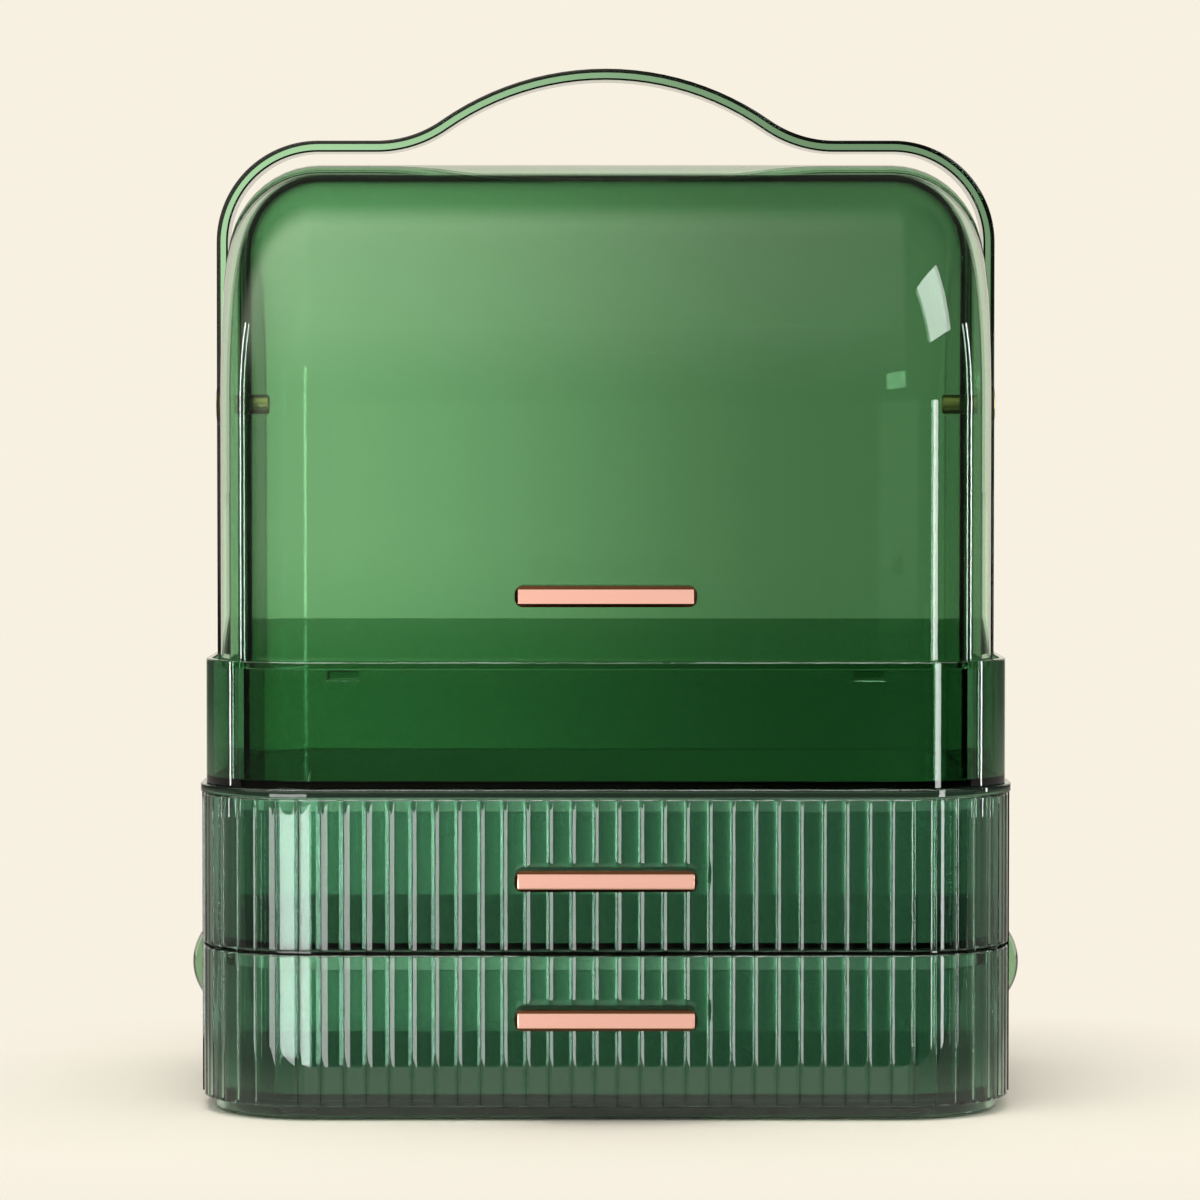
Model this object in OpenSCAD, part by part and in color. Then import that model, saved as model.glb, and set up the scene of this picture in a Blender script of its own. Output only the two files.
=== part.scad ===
// Dustproof makeup organizer: two wrap-round fluted drawers in a clear housing, an open display
// tray on top of them, and a clear hood whose front half swings up and back on two brass pins.
// A carrying strap runs over the hood, down through the tray and into the housing.
//
// Millimetres. X is to the right, Y to the back, Z up. The origin is the middle of the object's
// box, at the surface that it stands on. Inside the modules Y is counted from the hinge pins.

/* [Housing] */
// Width over the housing's side walls
body_w = 280; // [260:1:320]
// Depth from the face of the drawers to the back wall
body_d = 184; // [170:1:220]
// How far the hinge pins lie behind the middle of the depth
pin_set_back = 2.5; // [0:0.5:5]
// Thickness of the side and back walls
body_wall = 2; // [1.6:0.1:2.6]
// Plan radius of the front corners, measured on the drawer fronts
front_corner_r = 40; // [34:1:46]
// Plan radius of the rear corners
back_corner_r = 20; // [12:1:26]
// Thickness of the floor and the middle shelf
plate_t = 2.4; // [2:0.2:3.2]
// Thickness of the deck that the tray stands on
deck_t = 3; // [2.4:0.2:4]
// Height of the plinth under the floor
plinth_h = 3.6; // [3:0.2:5]
// How far the plinth is set in from the walls
plinth_inset = 4; // [3:0.5:8]

/* [Drawers] */
// Height of each fluted drawer front
front_h = 51.6; // [44:0.2:60]
// Gap between the two drawer fronts
front_gap = 1.2; // [0.8:0.1:2]
// Thickness of a drawer front from its inner face to the crests of the flutes
front_t = 3; // [2.6:0.1:4]
// How far a drawer front is set in from the housing's side
front_inset = 1; // [0.6:0.1:1.6]
// Straight stretch of a drawer front behind its corner
front_tail = 4.2; // [2:0.2:8]
// Width of one flute
flute_pitch = 7.8; // [6:0.1:11]
// Depth of the valleys between the flutes
flute_depth = 0.9; // [0.3:0.1:1.2]
// Thickness of the bin walls
bin_wall = 1.8; // [1.4:0.1:2.4]
// Clear height between a bin's side walls and the plate above them
bin_head = 4.7; // [4:0.1:8]
// Width left beside each bin for the guide rib, the strap and the wall
bin_side_room = 9.5; // [9:0.1:12]
// How far a drawer slides out
drawer_travel = 120; // [80:5:130]

/* [Tray] */
// Height of the tray's front and side rim above the deck
tray_h = 43; // [36:1:52]
// How much higher the rim is along the back
tray_back_rise = 8; // [4:0.5:14]
// Thickness of the tray's walls and floor
tray_wall = 2.4; // [2:0.1:3]
// How far the tray is set in from the housing's side
tray_inset = 2; // [1.5:0.1:3]

/* [Hood] */
// Height of the hinge pins above the tray's front rim
pin_rise = 87.5; // [80:0.5:96]
// How much less than half the depth the lid's radius about the pins is
hood_margin = 7; // [6.5:0.1:9]
// Radius of the rounded shoulders and upright edges of the lid
hood_corner_r = 32; // [26:1:36]
// Thickness of the lid
lid_wall = 3; // [2:0.1:3.6]
// Thickness of the fixed rear hood
hood_wall = 2.4; // [2:0.1:3]
// Running gap between the lid and the rear hood
hood_gap = 0.4; // [0.3:0.05:0.7]
// How far the lid's lower edge reaches down behind the tray's front wall
lid_lap = 3; // [1:0.5:4]
// How far the rear hood's rim reaches forward of the pins, under the lid
hood_lap = 12; // [10:0.5:18]

/* [Strap] */
// Thickness of the carrying strap
strap_t = 4; // [3.2:0.1:4.4]
// Width of the carrying strap from front to back
strap_w = 16; // [15.6:0.2:20]
// Gap between the hood's top and the strap's shoulders
strap_gap = 4.3; // [3.5:0.1:8]
// Radius of the strap's outer corners
strap_corner_r = 36; // [30:1:40]
// How far the hand grip arches above the shoulders
grip_rise = 25.4; // [20:0.2:32]
// Outer radius of the grip's arch
grip_r = 102; // [96:1:120]
// Radius of the curves that lead into the arch
grip_ease_r = 40; // [34:1:44]

/* [Pins and anchors] */
// Diameter of the hinge pins
pin_d = 7; // [6:0.1:7.6]
// Diameter of the pins' heads
pin_head_d = 14; // [12:0.2:15]
// How far the pins stand into the hood past their bosses
pin_stub = 4; // [2:0.5:8]
// Outer diameter of the bosses inside the rear hood
boss_d = 16.5; // [14:0.5:20]
// Diameter of the domed strap anchors
anchor_d = 30.5; // [24:0.5:32]
// Height of the domes
anchor_h = 7.4; // [5:0.1:9]
// Height of the anchors above the floor that the object stands on
anchor_z = 44.5; // [42:0.5:48]

/* [Pulls] */
// Length of a pull
pull_l = 61.5; // [50:0.5:80]
// Height of a pull
pull_h = 7.2; // [6:0.1:8]
// How far a pull stands out
pull_reach = 15; // [12:0.5:20]
// Width of the bevel round a pull's face
pull_bevel = 1.2; // [0.6:0.1:1.6]
// How far the lower drawer's pull sits above the middle of its front
lower_pull_lift = 6; // [0:0.5:10]
// Distance between a pull's two screws
screw_spacing = 40; // [30:1:44]
// Diameter of the screws
screw_d = 3; // [2.5:0.1:3.2]

/* [Hidden] */
$fn = 96;

green = "seagreen";
rose_gold = "lightsalmon";
brass = "darkkhaki";

// Clearances
fit_gap = 0.2;      // between pieces that are assembled once
slide_gap = 0.3;    // under and beside what slides
notch_gap = 0.3;    // round the strap in its slots
bore_gap = 0.05;    // radial, on pins and screws
eps = 0.02;         // how far a cut runs past a face

// Stations in Y, from the pins
front_y = -(body_d / 2 + pin_set_back);
back_y = body_d / 2 - pin_set_back;
pull_off = 0.05;    // a pull's back face stands this far off the crests
seat_y = (pull_off + pull_reach - front_y - back_y) / 2;

// Half widths and plan centres
body_half = body_w / 2;
inner_half = body_half - body_wall;
front_half = body_half - front_inset;
corner_x = front_half - front_corner_r;
corner_y = front_y + front_corner_r;
bin_half = body_half - bin_side_room;
tray_half = body_half - tray_inset;
strap_outer = tray_half - fit_gap;
strap_inner = strap_outer - strap_t;
slot_inner = strap_inner - fit_gap;
washer_room = 0.8;
lid_half = strap_inner - washer_room;
hood_step = lid_wall + hood_gap;
hood_half = lid_half - hood_step;
tail_y = corner_y + front_tail;
wall_start_y = tail_y + 0.4;

// Heights
pad_proud = 0.8;
plinth_top = pad_proud + plinth_h;
floor_top = plinth_top + plate_t;
lower_front_z = plinth_top + 0.4;
upper_front_z = lower_front_z + front_h + front_gap;
shelf_z = upper_front_z - front_gap / 2 - plate_t / 2;
shelf_top = shelf_z + plate_t;
deck_z = upper_front_z + front_h + 0.4;
deck_top = deck_z + deck_t;
tray_floor_top = deck_top + tray_wall;
rim_z = deck_top + tray_h;
pin_z = rim_z + pin_rise;
lid_bottom = rim_z - lid_lap;
lower_bin_z = floor_top + slide_gap;
upper_bin_z = shelf_top + slide_gap;
lower_bin_top = shelf_z - bin_head;
upper_bin_top = deck_z - bin_head;

// Hood
lid_r = body_d / 2 - hood_margin;
hood_r = lid_r - hood_step;
lid_back = 4;       // how far the lid reaches behind the pins
ear_r = 9;          // round ear of the lid about a pin
shoulder_z = pin_z + lid_r + strap_gap;

// Tray
tray_front_y = front_y + 1;
tray_back_y = back_y - 1.5;
tray_corner_r = tray_half - corner_x;
tray_back_r = 24;
sweep_start_y = 16;  // the rim starts to rise here
sweep_end_y = 56;    // and has risen fully here
rest_w = 10;         // ledges that the closed lid comes down on
rest_h = 3;

// Drawers
inner_r = front_corner_r - front_t;
plate_front_y = front_y + front_t + 0.4;
plate_r = inner_r - 0.4;
bin_front_y = front_y + front_t + fit_gap;
bin_back_y = back_y - body_wall - 2.5;
bin_corner_r = bin_half - corner_x;
guide_t = 2;
guide_h = 5;
stop_t = 2;
stop_w = 22;
stop_x = 50;
stop_play = 0.5;
stop_y = bin_back_y - bin_wall - drawer_travel - stop_play;
ledge_t = 1.6;
ledge_h = 2.4;

// Strap grip: where its arcs meet, from their centres
grip_ease_x = sqrt(pow(grip_r + grip_ease_r, 2) - pow(grip_r - grip_rise + grip_ease_r, 2));
grip_angle = asin(grip_ease_x / (grip_r + grip_ease_r));
leg_bottom = anchor_z - 14;

// Fasteners
screw_head_d = 5.6;
screw_head_t = 1.4;
screw_bite = 6;
screw_rise = pull_h * 0.08;     // the screws enter a pull above its middle, clear of the groove
upper_screw_z = upper_front_z + front_h / 2;
lower_screw_z = lower_front_z + front_h / 2 + lower_pull_lift;
lid_screw_z = rim_z + 23;
bin_inner_y = bin_front_y + bin_wall;
head_t = 1.6;
head_sunk = 1.2;
stud_d = 6;
nut_d = 15;
nut_t = 1.6;
pad_d = 12;
pad_t = 2.1;
pad_x = body_half - 34;
pad_front_y = front_y + 34;
pad_back_y = back_y - 24;

// ---- outlines and small shapes ----

// Every piece is drawn about the pins and set back so that the origin is the box's middle
module seated() {
    translate([0, seat_y, 0]) children();
}

// Rounded rectangle from y0 to y1, with its own radius at the front and at the back
module plan(half, y0, y1, r0, r1) {
    translate([-half, y0 + r0]) square([2 * half, y1 - r1 - y0 - r0]);
    translate([-(half - r0), y0]) square([2 * (half - r0), r0 + eps]);
    translate([-(half - r1), y1 - r1 - eps]) square([2 * (half - r1), r1 + eps]);
    for (s = [-1, 1]) {
        translate([s * (half - r0), y0 + r0]) circle(r0);
        translate([s * (half - r1), y1 - r1]) circle(r1);
    }
}

// A cylinder along X from x0 to x1, on the pins' height unless told otherwise
module x_rod(d, x0, x1, z) {
    translate([x0, 0, z]) rotate([0, 90, 0]) cylinder(d = d, h = x1 - x0);
}

// Plan of a plate that lies inside the housing and, in front, inside the drawer fronts
module bay_plan() {
    intersection() {
        plan(corner_x + plate_r, plate_front_y, back_y, plate_r, back_corner_r);
        translate([-body_half, front_y]) square([body_w, tail_y + 5 - front_y]);
    }
    intersection() {
        plan(inner_half - fit_gap, front_y, back_y - body_wall - fit_gap,
            front_corner_r, back_corner_r - body_wall);
        translate([-body_half, wall_start_y]) square([body_w, body_d]);
    }
}

// Open notches at both sides, where the strap's legs go through a plate or the tray
module strap_slots(outer, z0, z1) {
    for (s = [-1, 1])
        translate([s > 0 ? slot_inner : -outer, -strap_w / 2 - notch_gap, z0])
            cube([outer - slot_inner, strap_w + 2 * notch_gap, z1 - z0]);
}

// ---- housing ----

module guides(z) {
    for (s = [-1, 1])
        translate([s * (bin_half + 0.4 + guide_t / 2) - guide_t / 2, wall_start_y + 2, z - eps])
            cube([guide_t, bin_back_y - wall_start_y - 9, guide_h + eps]);
}

// Ribs under a plate that catch the tabs on a bin's back wall
module stops(z) {
    for (s = [-1, 1])
        translate([s * stop_x - stop_w / 2, stop_y - stop_t, z - bin_head + 0.5])
            cube([stop_w, stop_t, bin_head - 0.5 + eps]);
}

module base_floor() {
    color(green) seated() {
        difference() {
            union() {
                translate([0, 0, plinth_top]) linear_extrude(plate_t) bay_plan();
                translate([0, 0, pad_proud]) linear_extrude(plinth_h + eps) difference() {
                    plan(corner_x + front_corner_r - plinth_inset, front_y + plinth_inset,
                        back_y - plinth_inset, front_corner_r - plinth_inset,
                        back_corner_r - plinth_inset);
                    plan(corner_x + front_corner_r - plinth_inset - 3,
                        front_y + plinth_inset + 3, back_y - plinth_inset - 3,
                        front_corner_r - plinth_inset - 3, back_corner_r - plinth_inset - 3);
                }
                for (x = [-pad_x, pad_x], y = [pad_front_y, pad_back_y])
                    translate([x, y, pad_proud]) cylinder(d = pad_d + 4, h = plinth_h + eps);
                guides(floor_top);
            }
            for (x = [-pad_x, pad_x], y = [pad_front_y, pad_back_y])
                translate([x, y, 0]) cylinder(d = pad_d + 0.2, h = pad_t);
        }
    }
}

module base_shell() {
    color(green) seated() {
        difference() {
            translate([0, 0, lower_front_z]) linear_extrude(deck_z - lower_front_z) difference() {
                plan(body_half, front_y, back_y, front_corner_r, back_corner_r);
                plan(inner_half, front_y - 5, back_y - body_wall, front_corner_r,
                    back_corner_r - body_wall);
                translate([-body_half - 1, front_y - 1])
                    square([body_w + 2, wall_start_y - front_y + 1]);
            }
            for (s = [-1, 1])
                x_rod(stud_d + 2 * fit_gap, s * body_half - 5, s * body_half + 5, anchor_z);
        }
        // Ledges that carry the middle shelf, broken where the strap passes
        for (s = [-1, 1], run = [[wall_start_y + 2, -strap_w / 2 - 1], [strap_w / 2 + 1, 60]])
            translate([s * (inner_half + eps / 2 - ledge_t / 2) - ledge_t / 2, run[0],
                    shelf_z - ledge_h])
                cube([ledge_t + eps / 2, run[1] - run[0], ledge_h]);
    }
}

module middle_shelf() {
    color(green) seated() {
        difference() {
            union() {
                translate([0, 0, shelf_z]) linear_extrude(plate_t) bay_plan();
                guides(shelf_top);
                stops(shelf_z);
            }
            strap_slots(body_half, shelf_z - 1, shelf_top + 1);
        }
    }
}

module top_deck() {
    color(green) seated() {
        difference() {
            union() {
                translate([0, 0, deck_z]) linear_extrude(deck_t)
                    plan(body_half, front_y, back_y, front_corner_r, back_corner_r);
                stops(deck_z);
            }
            strap_slots(tray_half, deck_z - 1, deck_top + 1);
        }
    }
}

module base_pads() {
    color("dimgray") seated()
        for (x = [-pad_x, pad_x], y = [pad_front_y, pad_back_y])
            translate([x, y, 0]) cylinder(d = pad_d, h = pad_t);
}

// ---- drawers ----

// Point on the outline that the crests of the flutes follow, at distance s along it from the
// left tail, as [x, y, x of the outward normal, y of the outward normal]
corner_len = front_corner_r * PI / 2;
face_len = 2 * corner_x;
outline_len = 2 * front_tail + 2 * corner_len + face_len;
function outline_at(s) =
    s > outline_len / 2 ? mirrored(outline_at(outline_len - s)) :
    s < front_tail ? [-front_half, tail_y - s, -1, 0] :
    s < front_tail + corner_len ? on_corner((s - front_tail) / front_corner_r * 180 / PI) :
    [s - front_tail - corner_len - corner_x, front_y, 0, -1];
function on_corner(a) =
    [-corner_x - front_corner_r * cos(a), corner_y - front_corner_r * sin(a), -cos(a), -sin(a)];
function mirrored(p) = [-p[0], p[1], -p[2], p[3]];
function inward(p, d) = [p[0] - d * p[2], p[1] - d * p[3]];

flutes = round(outline_len / flute_pitch);
flute_steps = 8;
// Each flute is a shallow convex arch that falls to a sharp valley on both sides
function flute_drop(i) = flute_depth * pow(2 * (i % flute_steps) / flute_steps - 1, 2);
flute_count = flutes * flute_steps;
inner_steps = 132;

module fluted_band() {
    polygon(concat(
        [for (i = [0:flute_count]) inward(outline_at(outline_len * i / flute_count),
            i == 0 || i == flute_count ? flute_depth : flute_drop(i))],
        [for (i = [inner_steps:-1:0])
            inward(outline_at(outline_len * i / inner_steps), front_t)]));
}

module screw_holes(z, y0, y1, d) {
    for (s = [-1, 1])
        translate([s * screw_spacing / 2, y1, z]) rotate([90, 0, 0]) cylinder(d = d, h = y1 - y0);
}

module drawer_front(z, screw_z) {
    color(green) seated()
        difference() {
            translate([0, 0, z]) linear_extrude(front_h) fluted_band();
            screw_holes(screw_z, front_y - 1, front_y + front_t + 1, screw_d + 2 * bore_gap);
        }
}

module drawer_bin(z, top, screw_z) {
    color(green) seated() {
        difference() {
            translate([0, 0, z]) linear_extrude(top - z)
                plan(bin_half, bin_front_y, bin_back_y, bin_corner_r, 6);
            translate([0, 0, z + bin_wall]) linear_extrude(top - z)
                plan(bin_half - bin_wall, bin_front_y + bin_wall, bin_back_y - bin_wall,
                    bin_corner_r - bin_wall, 6 - bin_wall);
            screw_holes(screw_z, bin_front_y - 1, bin_front_y + bin_wall + 1,
                screw_d + 2 * bore_gap);
        }
        // Tabs that meet the stops when the drawer is fully out
        for (s = [-1, 1])
            translate([s * stop_x - stop_w / 2, bin_back_y - bin_wall, top - eps])
                cube([stop_w, bin_wall, bin_head - 1.2]);
    }
}

module upper_drawer_front() { drawer_front(upper_front_z, upper_screw_z); }
module lower_drawer_front() { drawer_front(lower_front_z, lower_screw_z); }
module upper_drawer_bin() { drawer_bin(upper_bin_z, upper_bin_top, upper_screw_z); }
module lower_drawer_bin() { drawer_bin(lower_bin_z, lower_bin_top, lower_screw_z); }

// ---- pulls and their screws ----

// A bevelled bar that stands on the face at y, with a finger groove along its underside
module pull(y, screw_z) {
    groove_r = pull_reach * 0.3;
    color(rose_gold) seated() translate([0, y, screw_z - screw_rise])
        difference() {
            intersection() {
                translate([0, 0.5, 0]) rotate([90, 0, 0]) linear_extrude(pull_reach + 1)
                    plan(pull_l / 2, -pull_h / 2, pull_h / 2, pull_h * 0.4, pull_h * 0.4);
                translate([-pull_l / 2, 0, 0]) rotate([90, 0, 90]) linear_extrude(pull_l)
                    polygon([[0, -pull_h / 2], [0, pull_h / 2],
                        [pull_bevel - pull_reach, pull_h / 2],
                        [-pull_reach, pull_h / 2 - pull_bevel],
                        [-pull_reach, pull_bevel - pull_h / 2],
                        [pull_bevel - pull_reach, -pull_h / 2]]);
                translate([0, 0, -pull_h / 2]) linear_extrude(pull_h)
                    polygon([[-pull_l / 2, 0], [-pull_l / 2, pull_bevel - pull_reach],
                        [pull_bevel - pull_l / 2, -pull_reach],
                        [pull_l / 2 - pull_bevel, -pull_reach],
                        [pull_l / 2, pull_bevel - pull_reach], [pull_l / 2, 0]]);
            }
            translate([-pull_l * 0.4, -pull_reach * 0.52, -pull_h / 2 - groove_r * 0.45])
                rotate([0, 90, 0]) cylinder(r = groove_r, h = pull_l * 0.8);
            for (s = [-1, 1])
                translate([s * screw_spacing / 2, 1, screw_rise]) rotate([90, 0, 0])
                    cylinder(d = screw_d + 2 * bore_gap, h = screw_bite + 1.4);
        }
}

// Pan-head screws from behind a wall whose rear face is at y, going forward by reach
module pull_screws(y, z, reach) {
    color("silver") seated()
        for (s = [-1, 1]) translate([s * screw_spacing / 2, y, z]) rotate([90, 0, 0]) {
            cylinder(d = screw_d, h = reach);
            translate([0, 0, -screw_head_t]) cylinder(d = screw_head_d, h = screw_head_t);
        }
}

module upper_drawer_pull() { pull(front_y - pull_off, upper_screw_z); }
module lower_drawer_pull() { pull(front_y - pull_off, lower_screw_z); }
module lid_pull() { pull(-lid_r - pull_off, lid_screw_z); }
module upper_pull_screws() {
    pull_screws(bin_inner_y, upper_screw_z, bin_inner_y - front_y + screw_bite);
}
module lower_pull_screws() {
    pull_screws(bin_inner_y, lower_screw_z, bin_inner_y - front_y + screw_bite);
}
module lid_pull_screws() { pull_screws(lid_wall - lid_r, lid_screw_z, lid_wall + screw_bite); }

// ---- tray ----

sweep_l = sweep_end_y - sweep_start_y;
sweep_r = (sweep_l * sweep_l + tray_back_rise * tray_back_rise) / (4 * tray_back_rise);
sweep_a = asin(sweep_l / 2 / sweep_r);
sweep_n = 10;

// Side view of what is cut away above the rim: level in front, then an S curve up to the back
module above_rim() {
    polygon(concat(
        [[front_y - 5, rim_z + 60], [front_y - 5, rim_z]],
        [for (i = [0:sweep_n]) let (a = sweep_a * i / sweep_n)
            [sweep_start_y + sweep_r * sin(a), rim_z + sweep_r * (1 - cos(a))]],
        [for (i = [sweep_n - 1:-1:0]) let (a = sweep_a * i / sweep_n)
            [sweep_end_y - sweep_r * sin(a), rim_z + tray_back_rise - sweep_r * (1 - cos(a))]],
        [[back_y + 5, rim_z + tray_back_rise], [back_y + 5, rim_z + 60]]));
}

module display_tray() {
    color(green) seated() {
        difference() {
            translate([0, 0, deck_top]) linear_extrude(tray_h + tray_back_rise)
                plan(tray_half, tray_front_y, tray_back_y, tray_corner_r, tray_back_r);
            translate([0, 0, tray_floor_top]) linear_extrude(tray_h + tray_back_rise)
                plan(tray_half - tray_wall, tray_front_y + tray_wall, tray_back_y - tray_wall,
                    tray_corner_r - tray_wall, tray_back_r - tray_wall);
            translate([-body_half, 0, 0]) rotate([90, 0, 90]) linear_extrude(body_w) above_rim();
            strap_slots(body_half, deck_top - 1, rim_z + tray_back_rise + 1);
        }
        // Ledges under the closed lid's front edge
        for (s = [-1, 1])
            translate([s * (corner_x - rest_w) - rest_w / 2, tray_front_y + tray_wall - eps,
                    lid_bottom - slide_gap - rest_h])
                cube([rest_w, lid_wall + 2 - lid_r - tray_front_y - tray_wall, rest_h]);
    }
}

// ---- hood ----

// Half round about the pins on top, straight sides below, with one radius on every outer edge
module hood_form(half, r, corner, z0) {
    intersection() {
        translate([0, 0, pin_z]) rotate([0, 90, 0]) rotate_extrude() {
            translate([0, corner - half]) square([r, 2 * (half - corner)]);
            translate([0, -half]) square([r - corner, 2 * half]);
            for (s = [-1, 1]) translate([r - corner, s * (half - corner)]) circle(corner);
        }
        translate([-body_w, -body_d, pin_z]) cube([2 * body_w, 2 * body_d, body_d]);
    }
    translate([0, 0, z0]) linear_extrude(pin_z - z0) plan(half, -r, r, corner, corner);
}

module hood_shell(half, r, corner, wall, z0) {
    difference() {
        hood_form(half, r, corner, z0);
        hood_form(half - wall, r - wall, corner - wall, z0 - 10);
    }
}

module rear_hood() {
    color(green) seated()
        difference() {
            union() {
                difference() {
                    hood_shell(hood_half, hood_r, hood_corner_r - hood_step, hood_wall,
                        tray_floor_top);
                    translate([-body_w, -body_d - hood_lap, 0]) cube([2 * body_w, body_d, 500]);
                }
                for (s = [-1, 1])
                    x_rod(boss_d, s > 0 ? hood_half - 2 * hood_wall : -hood_half + eps,
                        s > 0 ? hood_half - eps : -hood_half + 2 * hood_wall, pin_z);
            }
            x_rod(pin_d + 2 * bore_gap, -body_half, body_half, pin_z);
        }
}

module front_lid() {
    color(green) seated()
        difference() {
            union() {
                difference() {
                    hood_shell(lid_half, lid_r, hood_corner_r, lid_wall, lid_bottom);
                    translate([-body_w, lid_back, 0]) cube([2 * body_w, body_d, 500]);
                }
                for (s = [-1, 1])
                    x_rod(2 * ear_r, s > 0 ? lid_half - lid_wall : -lid_half,
                        s > 0 ? lid_half : lid_wall - lid_half, pin_z);
            }
            x_rod(pin_d + 2 * bore_gap, -body_half, body_half, pin_z);
            screw_holes(lid_screw_z, -lid_r - 1, 1 + lid_wall - lid_r, screw_d + 2 * bore_gap);
        }
}

// ---- strap ----

arc_step = 3;   // degrees between the points of the strap's curves
// Points about c from angle a0 to a1, both measured clockwise from straight up
function arc(c, r, a0, a1) =
    let (n = ceil(abs(a1 - a0) / arc_step))
    [for (i = [0:n]) let (a = a0 + (a1 - a0) * i / n) [c[0] + r * sin(a), c[1] + r * cos(a)]];
// The strap's right half from the crest down to the leg's end, inset by d from its outer face
function strap_edge(d) = concat(
    arc([0, shoulder_z + strap_t + grip_rise - grip_r], grip_r - d, 0, grip_angle),
    arc([grip_ease_x, shoulder_z + strap_t + grip_ease_r], grip_ease_r + d,
        180 + grip_angle, 180),
    arc([strap_outer - strap_corner_r, shoulder_z + strap_t - strap_corner_r],
        strap_corner_r - d, 0, 90),
    [[strap_outer - d, leg_bottom]]);
function reversed(v) = [for (i = [len(v) - 1:-1:0]) v[i]];
function flipped(v) = [for (p = v) [-p[0], p[1]]];

module carry_strap() {
    outer = strap_edge(0);
    inner = strap_edge(strap_t);
    color(green) seated()
        difference() {
            translate([0, strap_w / 2, 0]) rotate([90, 0, 0]) linear_extrude(strap_w)
                polygon(concat(outer, reversed(inner), flipped(inner),
                    flipped(reversed(outer))));
            x_rod(pin_d + 2 * bore_gap, -body_half, body_half, pin_z);
            x_rod(stud_d + 2 * fit_gap, -body_half, body_half, anchor_z);
            for (s = [-1, 1])
                x_rod(pin_head_d + 0.4, s > 0 ? strap_outer - head_sunk : -body_half,
                    s > 0 ? body_half : head_sunk - strap_outer, pin_z);
        }
}

// ---- pins, washers and anchors, drawn for the right side and mirrored ----

module hinge_pin() {
    tip = hood_half - 2 * hood_wall - pin_stub;
    head = strap_outer - head_sunk;
    color(brass) seated() translate([0, 0, pin_z]) rotate([0, 90, 0]) rotate_extrude()
        polygon([[0, tip], [pin_d / 2 - 0.6, tip], [pin_d / 2, tip + 0.6], [pin_d / 2, head],
            [pin_head_d / 2, head], [pin_head_d / 2, head + head_t - 0.5],
            [pin_head_d / 2 - 0.5, head + head_t], [0, head + head_t]]);
}

module pivot_washer() {
    color("ivory") seated()
        difference() {
            x_rod(pin_head_d, lid_half + bore_gap, strap_inner - bore_gap, pin_z);
            x_rod(pin_d + 2 * bore_gap, 0, body_half, pin_z);
        }
}

module anchor_cap() {
    dome_r = (anchor_d * anchor_d / 4 + anchor_h * anchor_h) / (2 * anchor_h);
    color(green) seated() {
        translate([body_half, 0, anchor_z]) rotate([0, 90, 0]) rotate_extrude()
            intersection() {
                translate([0, anchor_h - dome_r]) circle(dome_r);
                square([anchor_d, anchor_h]);
            }
        x_rod(stud_d, strap_inner - nut_t, body_half + 0.5, anchor_z);
    }
}

module anchor_nut() {
    color("silver") seated()
        difference() {
            x_rod(nut_d, strap_inner - nut_t, strap_inner, anchor_z);
            x_rod(stud_d + 2 * bore_gap, 0, body_half, anchor_z);
        }
}

module hinge_pin_left() { mirror([1, 0, 0]) hinge_pin(); }
module hinge_pin_right() { hinge_pin(); }
module pivot_washer_left() { mirror([1, 0, 0]) pivot_washer(); }
module pivot_washer_right() { pivot_washer(); }
module anchor_cap_left() { mirror([1, 0, 0]) anchor_cap(); }
module anchor_cap_right() { anchor_cap(); }
module anchor_nut_left() { mirror([1, 0, 0]) anchor_nut(); }
module anchor_nut_right() { anchor_nut(); }

base_floor();
base_shell();
middle_shelf();
top_deck();
display_tray();
rear_hood();
front_lid();
carry_strap();
hinge_pin_left();
hinge_pin_right();
pivot_washer_left();
pivot_washer_right();
anchor_cap_left();
anchor_cap_right();
anchor_nut_left();
anchor_nut_right();
upper_drawer_front();
lower_drawer_front();
upper_drawer_bin();
lower_drawer_bin();
upper_drawer_pull();
lower_drawer_pull();
lid_pull();
upper_pull_screws();
lower_pull_screws();
lid_pull_screws();
base_pads();
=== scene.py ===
"""Looks for a clear green makeup organizer: fluted drawers, a flip-up hood, a carrying strap."""

import math

import bmesh
import bpy
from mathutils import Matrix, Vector


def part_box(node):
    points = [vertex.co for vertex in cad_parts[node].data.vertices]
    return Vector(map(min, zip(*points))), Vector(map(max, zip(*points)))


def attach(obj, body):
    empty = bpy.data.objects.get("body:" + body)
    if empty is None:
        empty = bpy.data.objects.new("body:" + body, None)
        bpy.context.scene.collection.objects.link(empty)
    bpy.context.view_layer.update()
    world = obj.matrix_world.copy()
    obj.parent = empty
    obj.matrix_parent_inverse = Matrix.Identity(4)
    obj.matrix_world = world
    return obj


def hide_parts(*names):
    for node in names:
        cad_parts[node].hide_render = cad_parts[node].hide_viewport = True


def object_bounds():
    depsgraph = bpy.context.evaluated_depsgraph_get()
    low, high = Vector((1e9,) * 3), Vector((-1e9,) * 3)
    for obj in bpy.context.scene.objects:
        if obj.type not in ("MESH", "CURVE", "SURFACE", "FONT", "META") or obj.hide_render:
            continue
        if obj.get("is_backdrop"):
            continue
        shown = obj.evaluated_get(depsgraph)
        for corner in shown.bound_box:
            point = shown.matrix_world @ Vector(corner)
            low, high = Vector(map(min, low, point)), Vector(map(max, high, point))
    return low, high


bl_info = {
    "name": "Makeup Organizer Looks",
    "version": (1, 0, 0),
    "blender": (4, 5, 0),
    "location": "View3D > Sidebar > Organizer",
    "description": "Dresses the makeup organizer in moulded clear plastic, rose gold and brass",
    "category": "Object",
}

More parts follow.
